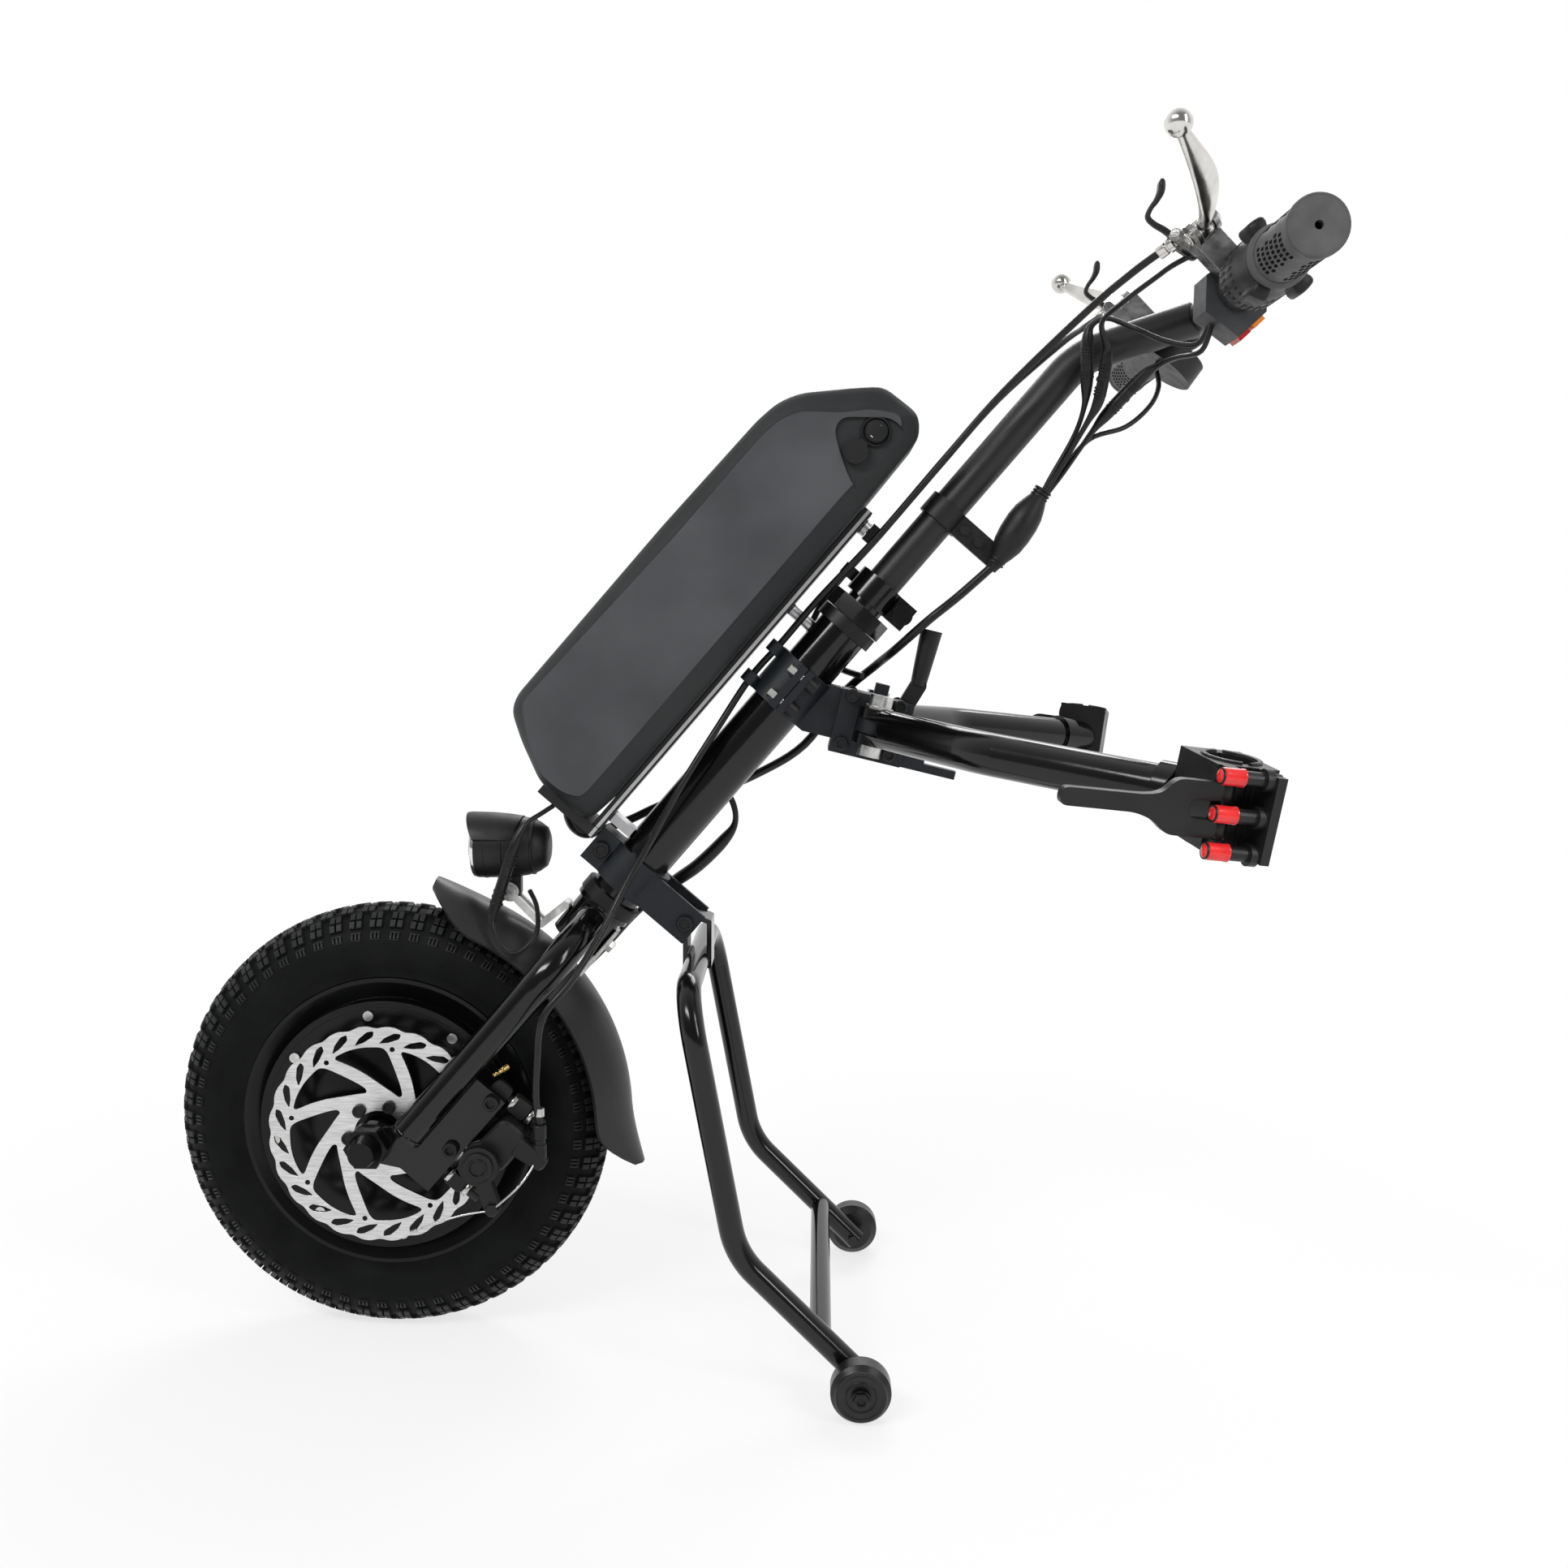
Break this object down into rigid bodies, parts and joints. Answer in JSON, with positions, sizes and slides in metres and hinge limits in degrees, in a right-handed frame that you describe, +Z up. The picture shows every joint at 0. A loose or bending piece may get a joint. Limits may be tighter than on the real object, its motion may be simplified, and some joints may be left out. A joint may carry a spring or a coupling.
{
  "type": "wheelchair power assist",
  "caption": "Clip-on electric front wheel for a manual wheelchair: hub motor in a fork, handlebar with twist throttle, battery on the column, frame clamps on arms and a fold-down stand.",
  "frame": {"origin": "on the floor, under the middle of the part's box", "axes": "+Z up, -X forward in the driving direction, +Y to the side away from the brake disc"},
  "size_m": [0.7662, 0.597, 0.8245],
  "materials": {
    "gloss_black": "gloss",
    "satin_black": "satin",
    "hitch_grey": "satin",
    "clamp_black": "anodised",
    "steel": "brushed",
    "alloy": "satin",
    "winding": "wound",
    "tyre_rubber": "matte",
    "cable_rubber": "satin",
    "grip_rubber": "matte",
    "black_plastic": "matte",
    "grey_plastic": "matte",
    "cell_wrap": "gloss",
    "orange_plastic": "gloss",
    "red_plastic": "gloss",
    "lens_glass": "clear"
  },
  "bodies": {
    "column": {"head_tube": "gloss_black", "headset_cups": "satin_black", "stand_bracket": "hitch_grey", "hitch_bracket": "hitch_grey", "hitch_plates": "hitch_grey", "frame_bolts": "steel", "battery_rail": "alloy", "column_cables": "cable_rubber", "lower_cables": "cable_rubber"},
    "fork": {"steerer": "gloss_black", "fork_legs": "gloss_black", "dropouts": "gloss_black", "height_clamp": "gloss_black", "fender": "black_plastic", "lamp_bracket": "steel", "axle": "steel", "stator": "winding", "caliper": "satin_black", "brake_cable": "cable_rubber"},
    "quick_lever": {"quick_lever": "gloss_black"},
    "lamp": {"headlight": "black_plastic", "headlight_lens": "lens_glass"},
    "caliper_arm": {"caliper_arm": "satin_black"},
    "wheel": {"tyre": "tyre_rubber", "rim": "satin_black", "motor_covers": "satin_black", "wheel_screws": "steel", "brake_disc": "steel"},
    "stem": {"stem_tube": "satin_black", "handlebar": "satin_black", "grips": "grip_rubber", "switch_box": "grey_plastic", "display": "black_plastic", "cable_hub": "black_plastic", "cockpit_leads": "cable_rubber", "lever_bodies": "black_plastic"},
    "throttle": {"throttle_sleeve": "grip_rubber"},
    "light_button": {"light_button": "orange_plastic"},
    "horn_button": {"horn_button": "red_plastic"},
    "left_lever": {"left_lever": "alloy"},
    "right_lever": {"right_lever": "alloy"},
    "left_park_latch": {"left_park_latch": "black_plastic"},
    "right_park_latch": {"right_park_latch": "black_plastic"},
    "battery": {"battery_case": "grey_plastic", "battery_cells": "cell_wrap"},
    "rocker": {"rocker_switch": "black_plastic"},
    "charge_cap": {"charge_cap": "grip_rubber"},
    "battery_key": {"battery_key": "black_plastic"},
    "lock_lever": {"lock_lever": "satin_black"},
    "left_arm": {"left_arm": "gloss_black", "left_clamp_block": "clamp_black"},
    "left_jaw": {"left_clamp_jaw": "clamp_black"},
    "left_handle": {"left_clamp_handle": "clamp_black"},
    "right_arm": {"right_arm": "gloss_black", "right_clamp_block": "clamp_black"},
    "right_jaw": {"right_clamp_jaw": "clamp_black"},
    "right_handle": {"right_clamp_handle": "clamp_black"},
    "stand": {"stand_frame": "gloss_black"},
    "left_caster": {"left_caster": "grip_rubber"},
    "right_caster": {"right_caster": "grip_rubber"}
  },
  "joints": [
    {"name": "steer", "type": "hinge", "parent": "column", "child": "fork", "pos_m": [-0.21032, 0, 0.15095], "axis": [0.6481, 0, 0.7615], "range_deg": [-35, 35], "deforming": ["column_cables", "brake_cable", "lower_cables"]},
    {"name": "wheel_spin", "type": "hinge", "parent": "fork", "child": "wheel", "pos_m": [-0.22213, 0, 0.161], "axis": [0, 1, 0], "continuous": true},
    {"name": "stem_height", "type": "slide", "parent": "fork", "child": "stem", "axis": [0.6481, 0, 0.7615], "range_m": [-0.04, 0.06], "deforming": ["column_cables", "brake_cable"]},
    {"name": "quick_release", "type": "hinge", "parent": "fork", "child": "quick_lever", "pos_m": [0.15138, 0.023, 0.53738], "axis": [-0.6481, 0, -0.7615], "range_deg": [0, 120]},
    {"name": "lamp_tilt", "type": "hinge", "parent": "fork", "child": "lamp", "pos_m": [-0.13442, 0, 0.33198], "axis": [0, 1, 0], "range_deg": [-15, 15], "deforming": ["lower_cables"]},
    {"name": "caliper_pull", "type": "hinge", "parent": "fork", "child": "caliper_arm", "pos_m": [-0.1422, -0.08, 0.15076], "axis": [0, -1, 0], "range_deg": [0, 12], "deforming": ["brake_cable"]},
    {"name": "throttle_turn", "type": "hinge", "parent": "stem", "child": "throttle", "pos_m": [0.35945, 0, 0.7491], "axis": [0, 1, 0], "range_deg": [0, 60], "stiffness_Nm_per_rad": 0.3, "springref_deg": -8.59},
    {"name": "light_press", "type": "slide", "parent": "stem", "child": "light_button", "axis": [-0.6854, 0, 0.7282], "range_m": [0, 0.0018], "stiffness_N_per_m": 600, "springref_m": -0.0005},
    {"name": "horn_press", "type": "slide", "parent": "stem", "child": "horn_button", "axis": [-0.6854, 0, 0.7282], "range_m": [0, 0.0018], "stiffness_N_per_m": 600, "springref_m": -0.0005},
    {"name": "left_lever_pull", "type": "hinge", "parent": "stem", "child": "left_lever", "pos_m": [0.32834, -0.1266, 0.78021], "axis": [0.7071, 0, 0.7071], "range_deg": [0, 22], "stiffness_Nm_per_rad": 0.6, "springref_deg": -6.88},
    {"name": "right_lever_pull", "type": "hinge", "parent": "stem", "child": "right_lever", "pos_m": [0.32834, 0.1266, 0.78021], "axis": [-0.7071, 0, -0.7071], "range_deg": [0, 22], "stiffness_Nm_per_rad": 0.6, "springref_deg": -6.88},
    {"name": "left_park", "type": "hinge", "parent": "stem", "child": "left_park_latch", "pos_m": [0.31349, -0.1146, 0.77668], "axis": [0, -1, 0], "range_deg": [0, 25]},
    {"name": "right_park", "type": "hinge", "parent": "stem", "child": "right_park_latch", "pos_m": [0.31349, 0.1146, 0.77668], "axis": [0, -1, 0], "range_deg": [0, 25]},
    {"name": "battery_lift", "type": "slide", "parent": "column", "child": "battery", "axis": [0.6481, 0, 0.7615], "range_m": [0, 0.1]},
    {"name": "rocker_tip", "type": "hinge", "parent": "battery", "child": "rocker", "pos_m": [0.12981, -0.0425, 0.66304], "axis": [0.7615, 0, -0.6481], "range_deg": [-6, 6]},
    {"name": "cap_flip", "type": "hinge", "parent": "battery", "child": "charge_cap", "pos_m": [0.12144, -0.0469, 0.6555], "axis": [-0.7615, 0, 0.6481], "range_deg": [0, 90]},
    {"name": "key_turn", "type": "hinge", "parent": "column", "child": "battery_key", "pos_m": [0.11701, 0.012, 0.60654], "axis": [0.7615, 0, -0.6481], "range_deg": [0, 90]},
    {"name": "lock_tip", "type": "hinge", "parent": "column", "child": "lock_lever", "pos_m": [0.14944, 0, 0.46152], "axis": [0, 1, 0], "range_deg": [0, 35]},
    {"name": "left_arm_swing", "type": "hinge", "parent": "column", "child": "left_arm", "pos_m": [0.13227, -0.0355, 0.4583], "axis": [-0.225, 0, -0.9744], "range_deg": [-10, 8]},
    {"name": "left_handle_swing", "type": "hinge", "parent": "left_arm", "child": "left_handle", "pos_m": [0.31829, -0.27055, 0.43082], "axis": [0.1431, -0.1126, 0.9833], "range_deg": [0, 100]},
    {"name": "left_jaw_slide", "type": "slide", "parent": "left_arm", "child": "left_jaw", "axis": [0.9612, 0.2527, -0.1109], "range_m": [0, 0.0122]},
    {"name": "right_arm_swing", "type": "hinge", "parent": "column", "child": "right_arm", "pos_m": [0.13227, 0.0355, 0.4583], "axis": [0.225, 0, 0.9744], "range_deg": [-10, 8]},
    {"name": "right_handle_swing", "type": "hinge", "parent": "right_arm", "child": "right_handle", "pos_m": [0.31829, 0.27055, 0.43082], "axis": [-0.1431, -0.1126, -0.9833], "range_deg": [0, 100]},
    {"name": "right_jaw_slide", "type": "slide", "parent": "right_arm", "child": "right_jaw", "axis": [0.9612, -0.2527, -0.1109], "range_m": [0, 0.0122]},
    {"name": "stand_fold", "type": "hinge", "parent": "column", "child": "stand", "pos_m": [-0.00348, 0, 0.31252], "axis": [0, -1, 0], "range_deg": [0, 75]},
    {"name": "left_caster_spin", "type": "hinge", "parent": "stand", "child": "left_caster", "pos_m": [0.1258, -0.141, 0.0205], "axis": [0, 1, 0], "continuous": true},
    {"name": "right_caster_spin", "type": "hinge", "parent": "stand", "child": "right_caster", "pos_m": [0.1258, 0.141, 0.0205], "axis": [0, 1, 0], "continuous": true}
  ],
  "couplings": [
    {"joint": "caliper_pull", "follows": "left_lever_pull", "ratio": 0.5},
    {"joint": "left_jaw_slide", "follows": "left_handle_swing", "m_per_rad": 0.0068},
    {"joint": "right_jaw_slide", "follows": "right_handle_swing", "m_per_rad": 0.0068}
  ]
}
